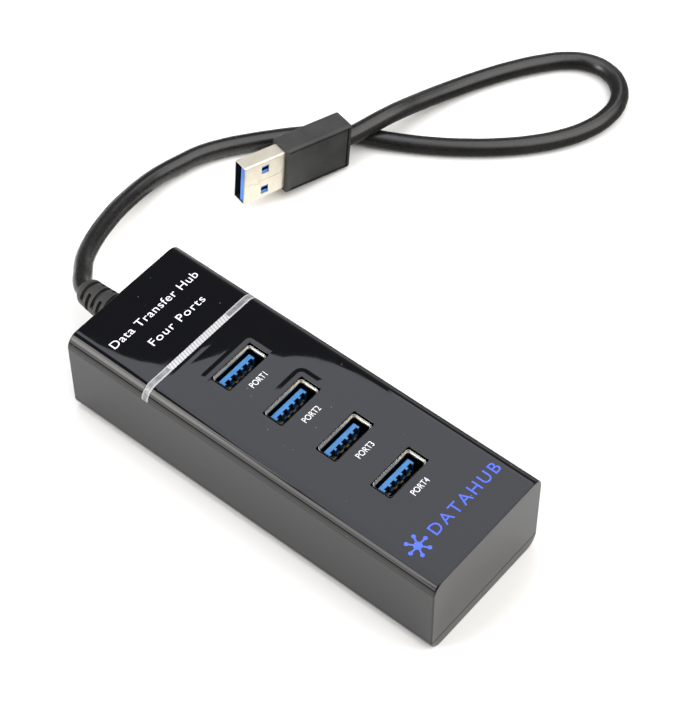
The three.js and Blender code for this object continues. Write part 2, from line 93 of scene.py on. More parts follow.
# The strain relief and the cable.
RELIEF_LENGTH, RELIEF_BASE, RELIEF_END = 13.6, 4.5, 3.5
RELIEF_BEND = math.radians(20)
RELIEF_LEAN = Vector((0, 0.775, -0.632))
CABLE_DIAMETER = 4.8
JOIN_GAP = 0.3
LEAD_IN = 2.3

plug_turn = Euler((math.radians(PLUG_ROLL), math.radians(-PLUG_PITCH), math.radians(PLUG_YAW)), "XYZ")
PLUG_MATRIX = Matrix.Translation(PLUG_TIP) @ plug_turn.to_matrix().to_4x4()


# ---------------------------------------------------------------- camera
def make_camera():
    azimuth, elevation = math.radians(39.45), math.radians(51.716)
    right = Vector((math.cos(azimuth), math.sin(azimuth), 0))
    back = Vector((
        math.sin(azimuth) * math.cos(elevation),
        -math.cos(azimuth) * math.cos(elevation),
        math.sin(elevation),
    ))
    data = bpy.data.cameras.new("camera")
    data.sensor_width = 36
    data.lens = 119.9
    data.clip_start = 0.05
    camera = bpy.data.objects.new("camera", data)
    turn = Matrix((right, back.cross(right), back)).transposed()
    camera.matrix_world = Matrix.Translation(Vector((216.818, -247.471, 459.259)) * MM) @ turn.to_4x4()
    bpy.context.scene.collection.objects.link(camera)
    bpy.context.scene.camera = camera


make_camera()


# ---------------------------------------------------------------- materials
class Nodes:
    """A material's node tree, with short calls for the nodes used here."""

    def __init__(self, name):
        self.material = bpy.data.materials.new(name)
        self.material.use_nodes = True
        self.tree = self.material.node_tree
        self.shader = self.tree.nodes["Principled BSDF"]
        self.place = self.node("TexCoord").outputs["Object"]

    def node(self, kind, **settings):
        made = self.tree.nodes.new("ShaderNode" + kind)
        for key, value in settings.items():
            setattr(made, key, value)
        return made

    def link(self, start, end):
        if isinstance(start, (int, float)):
            end.default_value = start
        else:
            self.tree.links.new(start, end)

    def set(self, **values):
        for key, value in values.items():
            self.shader.inputs[key.replace("_", " ")].default_value = value
        return self

    def math(self, operation, a, b=0.0):
        made = self.node("Math", operation=operation)
        self.link(a, made.inputs[0])
        self.link(b, made.inputs[1])
        return made.outputs[0]

    def noise(self, size, detail=2.0, stretch=(1, 1, 1)):
        """Noise between 0 and 1 whose lumps are about size millimetres across."""
        mapping = self.node("Mapping")
        mapping.inputs["Scale"].default_value = [s / (size * MM) for s in stretch]
        self.link(self.place, mapping.inputs["Vector"])
        made = self.node("TexNoise")
        made.inputs["Scale"].default_value = 1
        made.inputs["Detail"].default_value = detail
        self.link(mapping.outputs["Vector"], made.inputs["Vector"])
        return made.outputs["Fac"]

    def dots(self, size, share):
        """1 on sparse round dots in cells of size millimetres, 0 elsewhere."""
        mapping = self.node("Mapping")
        mapping.inputs["Scale"].default_value = [1 / (size * MM)] * 3
        self.link(self.place, mapping.inputs["Vector"])
        made = self.node("TexVoronoi")
        made.inputs["Scale"].default_value = 1
        self.link(mapping.outputs["Vector"], made.inputs["Vector"])
        return self.math("LESS_THAN", made.outputs["Distance"], share)

    def axis(self, name):
        """A coordinate in millimetres."""
        split = self.node("SeparateXYZ")
        self.link(self.place, split.inputs[0])
        return self.math("MULTIPLY", split.outputs[name], 1 / MM)

    def spread(self, value, low, high, start=0.35, end=0.65):
        """The value's range from start to end, as numbers from low to high."""
        made = self.node("MapRange")
        self.link(value, made.inputs["Value"])
        for key, number in (("From Min", start), ("From Max", end), ("To Min", low), ("To Max", high)):
            made.inputs[key].default_value = number
        return made.outputs["Result"]

    def mix(self, share, first, second):
        made = self.node("Mix", data_type="RGBA")
        self.link(share, made.inputs["Factor"])
        for socket, colour in ((made.inputs["A"], first), (made.inputs["B"], second)):
            if isinstance(colour, tuple):
                socket.default_value = (*colour, 1)
            else:
                self.tree.links.new(colour, socket)
        return made.outputs["Result"]

    def colour(self, value):
        self.tree.links.new(value, self.shader.inputs["Base Color"])
        return self

    def roughness(self, value):
        self.tree.links.new(value, self.shader.inputs["Roughness"])
        return self

    def bump(self, height, depth):
        """Bump from a height of 0 to 1 that stands for depth millimetres."""
        made = self.node("Bump")
        made.inputs["Distance"].default_value = depth * MM
        self.link(height, made.inputs["Height"])
        if self.shader.inputs["Normal"].is_linked:
            self.tree.links.new(self.shader.inputs["Normal"].links[0].from_socket, made.inputs["Normal"])
        self.tree.links.new(made.outputs["Normal"], self.shader.inputs["Normal"])
        return self


def gloss_black():
    """Piano-black plastic: a mirror gloss with faint waves, fine dust and a few scuffs."""
    n = Nodes("gloss_black").set(IOR=1.5, Specular_IOR_Level=0.38)
    dust = n.math("MULTIPLY", n.dots(2.6, 0.045), n.spread(n.noise(9), 0, 1, 0.48, 0.52))
    n.colour(n.mix(dust, (0.0016, 0.0018, 0.0032), (0.16, 0.155, 0.15)))
    scuffs = n.spread(n.noise(7, 4, (1, 0.35, 1)), 0, 0.04, 0.62, 0.8)
    n.roughness(n.math("ADD", n.spread(n.noise(3), 0.012, 0.02), scuffs))
    n.bump(n.noise(16, 1), 0.009)
    return n.bump(sink_ring(n), 0.0145).material


def nearest_port(n):
    """The nearest port's place in the row, from 0, and the distance in X from its middle."""
    pitch = PORT_X[2] - PORT_X[1]
    from_first = n.math("SUBTRACT", n.axis("X"), PORT_X[1])
    nearest = n.math("MINIMUM", n.math("MAXIMUM", n.math("ROUND", n.math("DIVIDE", from_first, pitch)), 0), 3)
    return nearest, n.math("SUBTRACT", from_first, n.math("MULTIPLY", nearest, pitch))


def sink_ring(n):
    """A faint swell of the skin round each mouth, strongest at the second port, as a height."""
    nearest, from_middle = nearest_port(n)
    beside = n.math("MAXIMUM", n.math("SUBTRACT", n.math("ABSOLUTE", from_middle), MOUTH["half_x"]), 0)
    across = n.math("MAXIMUM", n.math("SUBTRACT", n.math("ABSOLUTE", n.axis("Y")), MOUTH["half_y"]), 0)
    squares = n.math("ADD", n.math("MULTIPLY", beside, beside), n.math("MULTIPLY", across, across))
    away = n.math("SQRT", squares)
    ring = n.spread(n.math("ABSOLUTE", n.math("SUBTRACT", away, 1.2)), 1, 0, 0, 1.1)
    ring = n.math("MULTIPLY", ring, n.spread(from_middle, 1, 0, -1, MOUTH["half_x"]))
    from_second = n.math("ABSOLUTE", n.math("SUBTRACT", nearest, 1))
    ring = n.math("MULTIPLY", ring, n.spread(from_second, 1.6, 0.4, 0, 2))
    ring = n.math("MULTIPLY", ring, n.spread(nearest, 1, 0.6, 1, 2))
    from_bar = n.math("SUBTRACT", n.axis("X"), GUIDE_X + GUIDE_WIDTH / 2)
    beside_bar = n.spread(n.math("ABSOLUTE", n.math("SUBTRACT", from_bar, 0.9)), 0.35, 0, 0, 1)
    return n.math("MAXIMUM", ring, beside_bar)


def plain(name, dark, light, rough, grain, depth, lump=6.0, **values):
    """A moulded or painted surface: slow colour changes, and a fine grain in gloss and bump."""
    n = Nodes(name).set(**values)
    n.colour(n.mix(n.spread(n.noise(lump, 3), 0, 1), dark, light))
    n.roughness(n.spread(n.noise(grain * 3, 3), rough[0], rough[1]))
    return n.bump(n.noise(grain, 3), depth).material


def clear_guide():
    """Clear plastic with a painted highlight along its edges and tips, and white slanted ribs in its middle
    stretch.
    """
    n = Nodes("clear_guide").set(IOR=1.49, Roughness=0.1)
    x, y, z = (n.axis(name) for name in "XYZ")
    across = n.math("ABSOLUTE", n.math("SUBTRACT", x, GUIDE_X))
    # Painted highlight along the edges and the tips of the legs.
    edge = n.spread(across, 0, 1, GUIDE_WIDTH * 0.24, GUIDE_WIDTH * 0.42)
    tip = n.spread(z, 1, 0, GUIDE_LOW.z, GUIDE_LOW.z + 0.7)
    bright = n.math("MAXIMUM", edge, tip)
    slant = n.math("ADD", y, n.math("MULTIPLY", x, 0.3))
    rib = n.math("GREATER_THAN", n.math("FRACT", n.math("DIVIDE", slant, 0.85)), 0.42)
    middle = n.math("LESS_THAN", n.math("ABSOLUTE", n.math("ADD", y, 0.6)), 10.2)
    ribs = n.math("MULTIPLY", rib, middle)
    body = n.mix(n.spread(n.noise(1.5, 3), 0, 1), (0.13, 0.13, 0.137), (0.24, 0.24, 0.25))
    # The body's tone with the painted highlight on its edges and tips.
    lit = n.mix(bright, body, (0.45, 0.45, 0.46))
    grooves = n.mix(middle, lit, (0.34, 0.34, 0.35))
    n.colour(n.mix(ribs, grooves, (0.52, 0.52, 0.53)))
    return n.bump(ribs, 0.008).material


def metal(name, dark, light, rough, brush=(1, 1, 1)):
    n = Nodes(name).set(Metallic=1.0)
    n.colour(n.mix(n.spread(n.noise(2.5, 3), 0, 1), dark, light))
    n.roughness(n.spread(n.noise(0.6, 4, brush), rough[0], rough[1]))
    return n.bump(n.noise(0.4, 2, brush), 0.0008).material


def socket_steel():
    """Steel, with a painted highlight on the cable side and the far side of each rolled lip, painted shade on
    its other walls, and deeper painted shade below the lip.
    """
    n = Nodes("steel").set(Metallic=1.0)
    from_middle = nearest_port(n)[1]
    # Painted highlight on the cable-side wall and the far wall in Y of each sleeve, painted shade on the
    # others.
    painted_lit_walls = n.math("MAXIMUM", n.spread(from_middle, 1, 0, -2.2, -1.7), n.spread(n.axis("Y"), 0, 1, 5, 5.6))
    # Painted shade deep in each sleeve, below the lip.
    lip = n.spread(n.axis("Z"), 0, 1, BODY_TOP - 1.5, BODY_TOP - 0.9)
    bright = n.mix(painted_lit_walls, (0.12, 0.115, 0.1), (0.98, 0.93, 0.82))
    n.colour(n.mix(lip, (0.02, 0.02, 0.022), bright))
    return n.roughness(n.spread(n.noise(0.6, 4), 0.3, 0.38)).material


def socket_blue():
    """Blue nylon in its own colour on its top face, with painted shade below it that grows deeper further
    down.
    """
    n = Nodes("socket_blue")
    # Painted shade below the top face, deeper further down.
    top = n.spread(n.axis("Z"), 0, 1, BODY_TOP - 2.45, BODY_TOP - 2.15)
    below = n.spread(n.axis("Z"), 0, 1, BODY_TOP - 7, BODY_TOP - 2.3)
    shade = n.mix(below, (0.002, 0.012, 0.035), (0.005, 0.055, 0.16))
    lump = n.spread(n.noise(2, 3), 0, 1)
    n.colour(n.mix(top, shade, n.mix(lump, (0.022, 0.15, 0.38), (0.032, 0.185, 0.45))))
    n.roughness(n.spread(n.noise(0.4, 3), 0.3, 0.42))
    return n.bump(n.noise(0.12, 3), 0.004).material


def board_green():
    n = Nodes("board_green").set(Roughness=0.35)
    tracks = n.math("GREATER_THAN", n.noise(1.2, 0, (0.25, 1, 1)), 0.53)
    n.colour(n.mix(tracks, (0.008, 0.07, 0.03), (0.02, 0.15, 0.06)))
    return n.bump(tracks, 0.03).material


def wire_insulation():
    """Each wire has its own colour, by its place across the row."""
    n = Nodes("wire_insulation").set(Roughness=0.45)
    across = n.math("ADD", n.math("DIVIDE", n.axis("Y"), 9), 0.5)
    tint = n.node("CombineColor", mode="HSV")
    n.link(across, tint.inputs[0])
    n.link(0.8, tint.inputs[1])
    n.link(n.spread(n.noise(1), 0.2, 0.3), tint.inputs[2])
    return n.colour(tint.outputs[0]).bump(n.noise(0.3), 0.01).material


MATERIALS = {
    "gloss_black": gloss_black(),
    "clear_guide": clear_guide(),
    "board_green": board_green(),
    "chip_black": plain("chip_black", (0.012, 0.012, 0.013), (0.03, 0.03, 0.03), (0.45, 0.6), 0.1, 0.01),
    "steel": socket_steel(),
    "plug_metal": metal("plug_metal", (0.77, 0.72, 0.6), (0.83, 0.78, 0.66), (0.42, 0.52)),
    "contact_gold": metal("contact_gold", (0.65, 0.4, 0.1), (0.85, 0.6, 0.22), (0.2, 0.35)),
    "led_white": plain("led_white", (0.7, 0.7, 0.6), (0.85, 0.85, 0.78), (0.3, 0.4), 0.1, 0.005),
    "capacitor_can": plain("capacitor_can", (0.02, 0.025, 0.06), (0.04, 0.05, 0.1), (0.3, 0.4), 0.2, 0.01),
    "socket_blue": socket_blue(),
    "wire_insulation": wire_insulation(),
    "relief_rubber": plain(
        "relief_rubber", (0.022, 0.022, 0.022), (0.034, 0.033, 0.032), (0.5, 0.65), 0.15, 0.01
    ),
    "overmold_grey": plain(
        "overmold_grey", (0.022, 0.022, 0.022), (0.033, 0.033, 0.033), (0.5, 0.62), 0.16, 0.016
    ),
    "cable_black": plain(
        "cable_black", (0.004, 0.0038, 0.0038), (0.009, 0.0086, 0.0082), (0.25, 0.31), 0.5, 0.002, lump=12.0,
        Specular_IOR_Level=0.55,
    ),
}
PLUG_BLUE = plain("plug_blue", (0.036, 0.2, 0.7), (0.048, 0.24, 0.78), (0.3, 0.4), 0.12, 0.004, lump=2.0)
# A painted shade for the insides of pockets and holes.
PAINTED_POCKET_SHADE = plain("painted_pocket_shade", (0.001, 0.003, 0.01), (0.002, 0.005, 0.016), (0.5, 0.6), 0.1, 0.002)
PRINT_WHITE = plain("print_white", (0.78, 0.78, 0.8), (0.9, 0.9, 0.92), (0.4, 0.5), 0.1, 0.003)
PRINT_BLUE = plain("print_blue", (0.045, 0.1, 0.72), (0.06, 0.13, 0.85), (0.3, 0.4), 0.1, 0.003)


# ---------------------------------------------------------------- mesh tools
def finished(obj, slot=None, replaces=(), material=None):
    """Gives a piece its material, picked by its slot if it has one, and lets it ride in place of its CAD
    nodes.
    """
    obj.data.materials.clear()
    obj.data.materials.append(material or MATERIALS[slot])
    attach(obj, "root")
    if replaces:
        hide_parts(*replaces)
    return obj


def piece(name, made, matrix=None):
    """A mesh object from a bmesh in millimetres."""
    bmesh.ops.recalc_face_normals(made, faces=made.faces)
    mesh = bpy.data.meshes.new(name)
    made.to_mesh(mesh)
    made.free()
    mesh.transform(Matrix.Scale(MM, 4) @ (matrix or Matrix.Identity(4)))
    obj = bpy.data.objects.new(name, mesh)
    bpy.context.scene.collection.objects.link(obj)
    return obj


def modified(obj, *modifiers):
    """Applies modifiers, given as (type, settings)."""
    for kind, settings in modifiers:
        modifier = obj.modifiers.new(kind.lower(), kind)
        for key, value in settings.items():
            setattr(modifier, key, value)
    bpy.context.view_layer.update()
    evaluated = obj.evaluated_get(bpy.context.evaluated_depsgraph_get())
    mesh = bpy.data.meshes.new_from_object(evaluated)
    obj.modifiers.clear()
    obj.data = mesh
    return obj


def smooth(obj, angle=32, weighted=True):
    obj.data.shade_smooth()
    obj.data.set_sharp_from_angle(angle=math.radians(angle))
    if weighted:
        modified(obj, ("WEIGHTED_NORMAL", dict(keep_sharp=True, weight=80)))
    return obj


def cut(obj, *cutters):
    """Cuts the cutters out of a piece, and removes them."""
    for cutter in cutters:
        modified(obj, ("BOOLEAN", dict(operation="DIFFERENCE", solver="EXACT", object=cutter)))
        bpy.data.objects.remove(cutter)
    return obj


def bevelled(obj, width, segments=2, angle=40):
    settings = dict(
        width=width * MM, segments=segments, limit_method="ANGLE", angle_limit=math.radians(angle)
    )
    return modified(obj, ("BEVEL", {**settings, "use_clamp_overlap": True}))


def loft(rings, closed_along=False):
    """A solid through rings with equal point counts: its ends are capped, or joined to each other."""
    made = bmesh.new()
    levels = [[made.verts.new(point) for point in ring] for ring in rings]
    pairs = list(zip(levels, levels[1:]))
    if closed_along:
        pairs.append((levels[-1], levels[0]))
    for below, above in pairs:
        for i in range(len(below)):
            j = (i + 1) % len(below)
            made.faces.new((below[i], below[j], above[j], above[i]))
    if not closed_along:
        made.faces.new(levels[0][::-1])
        made.faces.new(levels[-1])
    return made


def arc(centre, radius, start, end, steps):
    """Points on an arc, with its angles in degrees."""
    angles = (math.radians(start + (end - start) * i / steps) for i in range(steps + 1))
    return [(centre[0] + radius * math.cos(a), centre[1] + radius * math.sin(a)) for a in angles]


def rounded_rectangle(half_a, half_b, radius, steps=6):
    corners = [
        ((half_a - radius, half_b - radius), 0),
        ((radius - half_a, half_b - radius), 90),
        ((radius - half_a, radius - half_b), 180),
        ((half_a - radius, radius - half_b), 270),
    ]
    return [point for centre, start in corners for point in arc(centre, radius, start, start + 90, steps)]


def block(name, low, high):
    made = bmesh.new()
    bmesh.ops.create_cube(made, size=1)
    middle, size = (Vector(low) + Vector(high)) / 2, Vector(high) - Vector(low)
    placed = Matrix.Translation(middle) @ Matrix.Diagonal((*size, 1))
    bmesh.ops.transform(made, verts=made.verts, matrix=placed)
    return piece(name, made)


def round_ends(start, end, radius, steps=5):
    """Stations along a length as (place, inset), with a quarter round at each end."""
    angles = [math.pi / 2 * i / steps for i in range(steps + 1)]
    first = [(start + radius * (1 - math.sin(a)), radius * (1 - math.cos(a))) for a in reversed(angles)]
    return first + [(start + end - place, inset) for place, inset in reversed(first)]


def paint_pocket_shade(obj, inside):
    """Gives the faces whose centre passes the test a painted shade, as dark as a deep pocket."""
    obj.data.materials.append(PAINTED_POCKET_SHADE)
    for polygon in obj.data.polygons:
        if inside(polygon.center / MM):
            polygon.material_index = 1


# ---------------------------------------------------------------- housing
def top_section(inset, bottom=SEAM, steps=20):
    """The top shell's outline in Y and Z."""
    half, top = HALF_WIDTH - inset, BODY_TOP - inset
    radius = max(LONG_EDGE_RADIUS - inset, 0.4)
    lower = SEAM_ROUND
    return [
        *arc((half - lower, bottom + lower), lower, -90, 0, 3),
        *arc((half - radius, top - radius), radius, 0, 90, steps),
        *arc((radius - half, top - radius), radius, 90, 180, steps),
        *arc((lower - half, bottom + lower), lower, 180, 270, 3),
    ]


def strip_section(outer_inset, inner_inset, leg_end, steps=20):
    """The light guide's outline in Y and Z, along the housing's skin and down to its legs' ends."""
    def path(inset):
        half, top, radius = HALF_WIDTH - inset, BODY_TOP - inset, LONG_EDGE_RADIUS - inset
        drop = min(max((leg_end - (top - radius)) / radius, 0), 1)
        low = math.degrees(math.asin(drop))
        right = arc((half - radius, top - radius), radius, low, 90, steps)
        return right + [(-y, z) for y, z in reversed(right)]
    return path(outer_inset) + path(inner_inset)[::-1]


def along_x(section, start, end):
    return loft([[(x, y, z) for y, z in section] for x in (start, end)])


def port_mouth(x):
    """A cutter for a port's opening, with a small round along its upper edge."""
    flare = MOUTH["flare"]
    levels = [(BODY_TOP - WALL - 1, 0)]
    for i in range(6):
        angle = math.pi / 2 * i / 5
        levels.append((BODY_TOP - flare + flare * math.sin(angle), flare * (1 - math.cos(angle))))
    levels.append((BODY_TOP + 1, flare))
    rings = []
    for z, grow in levels:
        outline = rounded_rectangle(MOUTH["half_x"] + grow, MOUTH["half_y"] + grow, MOUTH["radius"] + grow)
        rings.append([(x + a, b, z) for a, b in outline])
    return piece("mouth_cutter", loft(rings))


def cylinder_x(radius, start, end, centre_z, sides=48):
    circle = arc((0, centre_z), radius, 0, 360 - 360 / sides, sides - 1)
    return along_x(circle, start, end)


def top_shell():
    rings = []
    for x, inset in round_ends(-END_X, END_X, END_EDGE_RADIUS):
        rings.append([(x, y, z) for y, z in top_section(inset)])
    shell = piece("housing_top", loft(rings))
    inner = along_x(top_section(WALL, SEAM - 2), -END_X + WALL, END_X - WALL)
    groove = along_x(
        strip_section(-1, GUIDE_THICKNESS + 0.1, GUIDE_LOW.z - 0.05),
        GUIDE_LOW.x - 0.06,
        GUIDE_HIGH.x + 0.06,
    )
    cable_hole = cylinder_x(3.4, -END_X - 1, -END_X + WALL + 1, EXIT_Z)
    cut(shell, piece("inner", inner), piece("groove", groove), piece("cable_hole", cable_hole))
    cut(shell, *(port_mouth(PORT_X[number]) for number in PORTS))
    return finished(smooth(shell), "gloss_black", ["top_shell"])


def bottom_cover():
    """The tray under the seam, with its long edges rounded and a fine round at the seam."""
    radius = LONG_EDGE_RADIUS + 0.2
    rings = []
    for x, inset in round_ends(-END_X, END_X, END_EDGE_RADIUS):
        half, low, lip = HALF_WIDTH - inset, COVER_LOW.z + inset, SEAM_ROUND
        top = SEAM - 0.16
        ring = [
            *arc((half - lip, top - lip), lip, 0, 90, 3),
            *arc((lip - half, top - lip), lip, 90, 180, 3),
            *arc((radius - inset - half, low + radius - inset), radius - inset, 180, 270, 14)[:-1],
            *arc((half - radius + inset, low + radius - inset), radius - inset, 270, 360, 14)[1:],
        ]
        rings.append([(x, y, z) for y, z in ring])
    cover = piece("housing_bottom", loft(rings))
    lip = WALL + 1.3
    tray_low = (-END_X + lip, -HALF_WIDTH + lip, COVER_FLOOR)
    cut(cover, block("tray", tray_low, (END_X - lip, HALF_WIDTH - lip, SEAM + 1)))
    return finished(smooth(cover), "gloss_black", ["bottom_cover"])


def light_guide():
    section = strip_section(0, GUIDE_THICKNESS, GUIDE_LOW.z)
    bar = piece("light_bar", along_x(section, GUIDE_LOW.x, GUIDE_HIGH.x))
    bevelled(bar, 0.14, 3)
    return finished(smooth(bar), "clear_guide", ["light_guide"])


# ---------------------------------------------------------------- sockets
def sleeve(name, profile, half_a, half_b, radius, place):
    """A closed sleeve: a profile of (inset, height) swept round a rounded rectangle."""
    rings = []
    for inset, height in profile:
        outline = rounded_rectangle(half_a - inset, half_b - inset, max(radius - inset, 0.08))
        rings.append([place(a, b, height) for a, b in outline])
    return piece(name, loft(rings, closed_along=True))


def socket_shell(number):
    """A pressed sleeve whose mouth rolls outwards to a fine lip."""
    low, high = PORT_BOXES[number]
    centre = (low + high) / 2
    top, sheet, depth = high.z, 0.42, 0.62
    bottom = low.z + 3
    profile = [(0, bottom), (0, top - 0.06), (0.03, top)]
    steps = 6
    for i in range(steps + 1):
        share = i / steps
        bulge = 0.06 * math.sin(math.pi * share)
        profile.append((0.06 + (sheet - 0.06) * share - bulge, top - depth * share + bulge))
    profile += [(sheet, top - depth - 0.6), (sheet, bottom)]

    def place(a, b, height):
        return centre.x + a, centre.y + b, height

    half_x, half_y = (high.x - low.x) / 2, (high.y - low.y) / 2
    shell = sleeve(f"port{number}_sleeve", profile, half_x, half_y, 0.9, place)
    return finished(smooth(shell, 50), "steel", [f"port{number}_shell"])


def socket_insulator(number):
    """The moulded tongue with five pockets in its contact face, on its base."""
    x = PORT_X[number]
    low, high = box_mm(f"port{number}_insulator")
    face, floor = x - 0.05, BODY_TOP - 12
    half_y, tongue_low = 5.3, face - 1.75
    base = block(f"port{number}_base_block", low, (high.x, high.y, floor))
    tongue = block(f"port{number}_tongue", (tongue_low, -half_y, floor - 0.2), (face, half_y, high.z))
    for i in range(-2, 3):
        y = 2 * i
        pocket = block("pocket", (face - 0.55, y - 0.65, BODY_TOP - 4.5), (face + 1, y + 0.65, high.z + 1))
        cut(tongue, pocket)
    modified(base, ("BOOLEAN", dict(operation="UNION", solver="EXACT", object=tongue)))
    bpy.data.objects.remove(tongue)
    base.name = f"port{number}_tongue"
    bevelled(base, 0.08, 2)
    done = finished(smooth(base), "socket_blue", [f"port{number}_insulator"])

    def in_pocket(p):
        in_row = abs(p.y) < 4.7 and abs(p.y - 2 * round(p.y / 2)) < 0.68
        return face - 0.58 < p.x < face - 0.12 and in_row and BODY_TOP - 4.6 < p.z < high.z - 0.02

    # Painted shade in the five pockets of the tongue.
    paint_pocket_shade(done, in_pocket)
    return done


# ---------------------------------------------------------------- strain relief and cable
def bent(point):
    """Where a point of the straight relief goes when its end leans over."""
    along = -END_X - point[0]
    if along <= 0:
        return Vector(point)
    share = along / RELIEF_LENGTH
    turn = RELIEF_BEND * share**3
    side = Vector((0, point[1], point[2] - EXIT_Z))
    lean = side.dot(RELIEF_LEAN)
    shift = RELIEF_BEND * RELIEF_LENGTH * share**4 / 4
    side += RELIEF_LEAN * (shift + lean * (math.cos(turn) - 1))
    return side + Vector((point[0] + lean * math.sin(turn), 0, EXIT_Z))


def relief_radius(along):
    return RELIEF_BASE + (RELIEF_END - RELIEF_BASE) * along / RELIEF_LENGTH


def slot_cutter(along, middle, spread, width=0.95, depth=1.0):
    """A slot part of the way round the relief, at a distance beyond the end face."""
    inner, outer = relief_radius(along) - depth, relief_radius(along) + 1
    start, end = middle - spread / 2, middle + spread / 2
    ring = arc((0, EXIT_Z), outer, start, end, 24) + arc((0, EXIT_Z), inner, end, start, 24)
    return piece("slot", along_x(ring, -END_X - along - width / 2, -END_X - along + width / 2))


def strain_relief():
    """A tapered rubber boot with staggered slots, which leans the way the cable leaves."""
    sides, end_round = 64, 1.0
    stations = [(-WALL, 3.3), (0.05, 3.3), (0.05, RELIEF_BASE - 0.25), (0.3, RELIEF_BASE)]
    steps = 30
    stations += [(0.3 + (RELIEF_LENGTH - end_round - 0.3) * i / steps, None) for i in range(1, steps + 1)]
    for i in range(1, 9):
        angle = math.pi / 2 * i / 8
        radius = RELIEF_END - end_round + end_round * math.cos(angle)
        stations.append((RELIEF_LENGTH - end_round + end_round * math.sin(angle), radius))
    rings = []
    for along, radius in stations:
        circle = arc((0, EXIT_Z), radius or relief_radius(along), 0, 360 - 360 / sides, sides - 1)
        rings.append([(-END_X - along, y, z) for y, z in circle])
    boot = piece("cable_boot", loft(rings))
    for row in range(6):
        along = RELIEF_LENGTH - 2.4 - row * 1.75
        first, spread = (0, 122) if row % 2 else (90, 150)
        cut(boot, slot_cutter(along, first, spread), slot_cutter(along, first + 180, spread))
    bevelled(boot, 0.13, 2)
    for vertex in boot.data.vertices:
        vertex.co = bent(vertex.co / MM) * MM
    return finished(smooth(boot, 45), "relief_rubber", ["strain_relief"])


CABLE_ROUTE = [
    (-73.9, 5.4, 12.5), (-77.1, 9.2, 11.3), (-79.7, 13.6, 10), (-82.1, 18.8, 8.7), (-84, 24.1, 7.4),
    (-85.6, 29.6, 6.2), (-86.7, 35.2, 5), (-87.4, 41.1, 4), (-87.4, 47.3, 3.1), (-86.3, 53.6, 2.6),
    (-84.5, 59.9, 2.45), (-81.6, 65.3, 2.45), (-77.9, 70.6, 2.45), (-73.7, 75.9, 2.45),
    (-68.8, 81.5, 2.45), (-63.3, 86.7, 2.45), (-57.3, 91, 2.45), (-49.3, 95, 2.45),
    (-40.9, 99.8, 2.45), (-32.6, 105.7, 2.45), (-25.2, 112.1, 2.45), (-19.6, 118.1, 2.45),
    (-15.2, 124.3, 2.45), (-12.1, 130.8, 2.45), (-10.7, 137.6, 2.45), (-11.4, 144, 2.45),
    (-14.8, 149.2, 2.45), (-20.3, 151.9, 2.45), (-26.1, 151.4, 2.45), (-31.3, 148.3, 2.45),
    (-36, 143, 2.45), (-40.4, 136.4, 2.45), (-44.6, 128.6, 2.5), (-48.2, 119.8, 3),
    (-50.9, 109.8, 4.6), (-52.9, 99.4, 6.5),
]


def cable():
    """The free cable: straight out of its boot, along the table, over itself and into the plug."""
    on_relief = [bent((-END_X - RELIEF_LENGTH - beyond, 0, EXIT_Z)) * MM for beyond in (JOIN_GAP, LEAD_IN)]
    plug_back = PLUG_EXPOSED + OVERMOLD_LENGTH
    at_plug = [PLUG_MATRIX @ Vector((plug_back + beyond, 0, 0)) * MM for beyond in (LEAD_IN, JOIN_GAP)]
    points = [*on_relief, *(Vector(place) * MM for place in CABLE_ROUTE), *at_plug]
    data = bpy.data.curves.new("cable_jacket", "CURVE")
    data.dimensions = "3D"
    data.bevel_depth = CABLE_DIAMETER / 2 * MM
    data.bevel_resolution = 10
    data.resolution_u = 8
    data.use_fill_caps = True
    spline = data.splines.new("BEZIER")
    spline.bezier_points.add(len(points) - 1)
    for knot, place in zip(spline.bezier_points, points):
        knot.co = place
        knot.handle_left_type = knot.handle_right_type = "AUTO"
    jacket = bpy.data.objects.new("cable_jacket", data)
    bpy.context.scene.collection.objects.link(jacket)
    return finished(jacket, "cable_black", ["cable"]), points


# ---------------------------------------------------------------- plug
def plug_shell():
    """The metal sleeve, with two windows in each broad face and a folded seam along the -Y one."""
    half_y, half_z = PLUG_THICKNESS / 2, PLUG_WIDTH / 2
    end = PLUG_EXPOSED + PLUG_BURIED
    profile = [
        (0, end), (0, 0.35), (0.05, 0.12), (0.14, 0.02), (0.22, 0.02), (PLUG_SHEET, 0.14), (PLUG_SHEET, end),
    ]

    def place(a, b, height):
        return height, a, b

    shell = sleeve("plug_sleeve", profile, half_y, half_z, 0.5, place)
    windows = [
        block("window", (5.2, -3, side * 3.35 - 1.3), (7.4, 3, side * 3.35 + 1.2)) for side in (-1, 1)
    ]
    face = -half_y
    seam = [
        block("seam", (-1, face - 1, -0.05), (3.1, face + 0.09, 0.05)),
        block("seam", (3.0, face - 1, -0.75), (3.1, face + 0.09, 0.05)),
        block("seam", (3.0, face - 1, -0.85), (4.6, face + 0.09, -0.75)),
        block("seam", (4.5, face - 1, -0.85), (4.6, face + 0.09, 0.05)),
        block("seam", (4.5, face - 1, -0.05), (PLUG_EXPOSED - 1.3, face + 0.09, 0.05)),
        block("seam", (PLUG_EXPOSED - 1.3, face - 1, -0.05), (PLUG_EXPOSED - 1.2, face + 0.09, 0.8)),
        block("seam", (PLUG_EXPOSED - 1.3, face - 1, 0.7), (PLUG_EXPOSED + 1, face + 0.09, 0.8)),
    ]
    cut(shell, *windows, *seam)
    done = finished(smooth(shell, 50), "plug_metal", ["plug_shell"])
    inner_y, inner_z = half_y - PLUG_SHEET + 0.02, half_z - PLUG_SHEET + 0.02

    def inside_sleeve(p):
        return abs(p.y) < inner_y and abs(p.z) < inner_z and p.x > 0.1

    # Painted shade on the faces inside the sleeve.
    paint_pocket_shade(done, inside_sleeve)
    return moved_to_plug(done)


def moved_to_plug(obj):
    """Turns a piece built along the world's axes into the plug's pose."""
    obj.data.transform(Matrix.Scale(MM, 4) @ PLUG_MATRIX @ Matrix.Scale(1 / MM, 4))
    return obj


def in_catch(place):
    return 4.5 < place.x < 8.25 and -1.85 < place.y < -0.6 and abs(place.z) < 5


